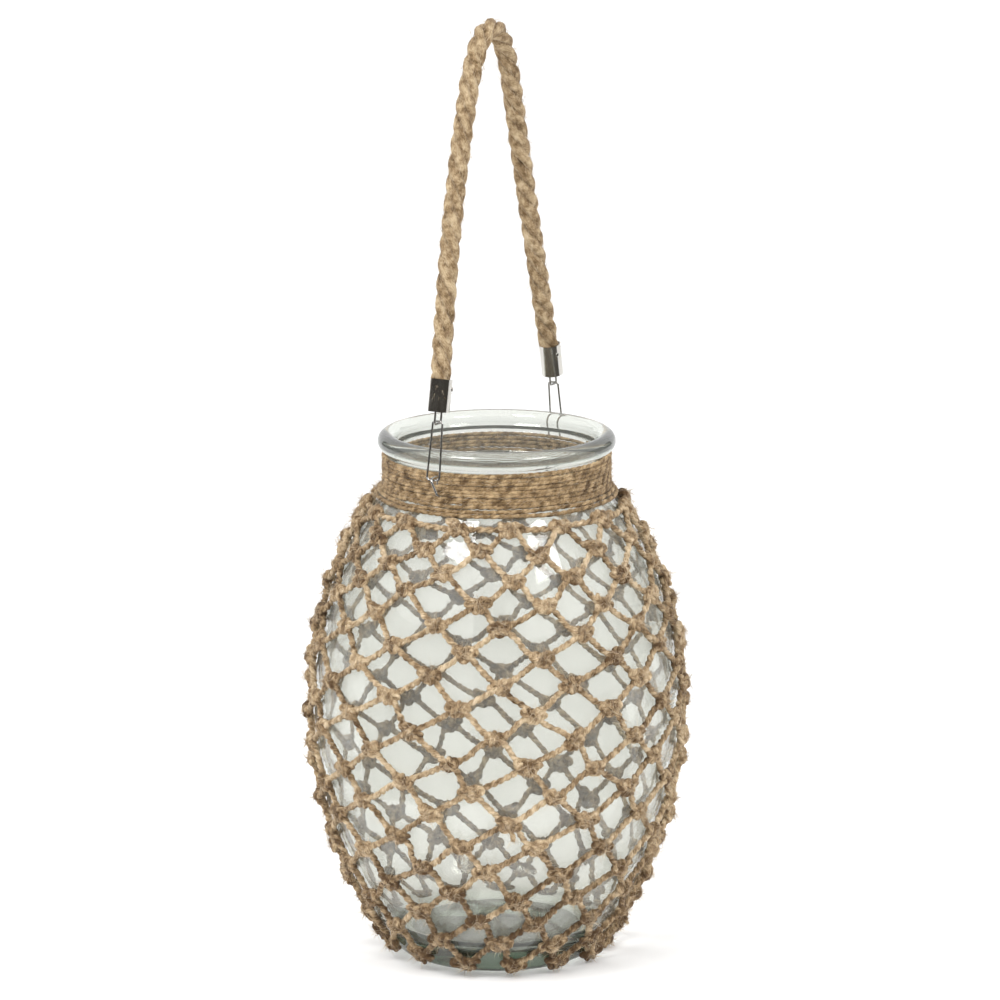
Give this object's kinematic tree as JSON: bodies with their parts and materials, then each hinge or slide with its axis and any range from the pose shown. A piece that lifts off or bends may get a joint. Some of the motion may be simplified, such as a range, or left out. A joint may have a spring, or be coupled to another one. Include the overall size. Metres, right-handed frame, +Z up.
{
  "type": "hanging lantern",
  "caption": "Clear glass jar lantern wrapped in a knotted jute net, with a wide rolled mouth and a swinging rope handle on wire links.",
  "frame": {"origin": "centre of the jar's underside, on the plane it stands on", "axes": "+Z up through the mouth; the two wire ears and the handle lie on the X axis, the left ear at -X"},
  "size_m": [0.1949, 0.1947, 0.4676],
  "materials": {
    "clear_glass": "clear, polished",
    "net_twine": "hand-knotted jute twine, matt and hairy",
    "wrap_twine": "fine jute twine, matt",
    "jute_rope": "three-strand jute rope, matt and hairy",
    "nickel": "polished nickel plate",
    "bright_wire": "bright steel wire"
  },
  "bodies": {
    "jar": {"glass_jar": "clear_glass", "neck_wrap": "wrap_twine", "neck_wire": "bright_wire", "net_course_01": "net_twine", "net_course_02": "net_twine", "net_course_03": "net_twine", "net_course_04": "net_twine", "net_course_05": "net_twine", "net_course_06": "net_twine", "net_course_07": "net_twine", "net_course_08": "net_twine", "net_course_09": "net_twine", "net_course_10": "net_twine", "net_course_11": "net_twine", "net_course_12": "net_twine", "net_course_13": "net_twine", "net_course_14": "net_twine", "net_course_15": "net_twine", "net_course_16": "net_twine", "net_course_17": "net_twine", "net_course_18": "net_twine", "net_header_cord": "net_twine", "net_tails": "net_twine"},
    "link_left": {"link_left": "bright_wire"},
    "link_right": {"link_right": "bright_wire"},
    "handle": {"rope": "jute_rope", "ferrule_left": "nickel", "ferrule_right": "nickel", "ferrule_eye_left": "bright_wire", "ferrule_eye_right": "bright_wire", "ferrule_tack_left": "nickel", "ferrule_tack_right": "nickel"}
  },
  "joints": [
    {"name": "left_link_swing", "type": "hinge", "parent": "jar", "child": "link_left", "pos_m": [-0.0623, 0, 0.252], "axis": [1, 0, 0], "range_deg": [-55, 55]},
    {"name": "right_link_swing", "type": "hinge", "parent": "jar", "child": "link_right", "pos_m": [0.0623, 0, 0.252], "axis": [1, 0, 0], "range_deg": [-55, 55]},
    {"name": "handle_swing", "type": "hinge", "parent": "link_left", "child": "handle", "pos_m": [-0.058, 0, 0.278], "axis": [1, 0, 0], "range_deg": [-45, 45]}
  ],
  "couplings": [
    {"joint": "right_link_swing", "follows": "left_link_swing", "ratio": 1}
  ]
}
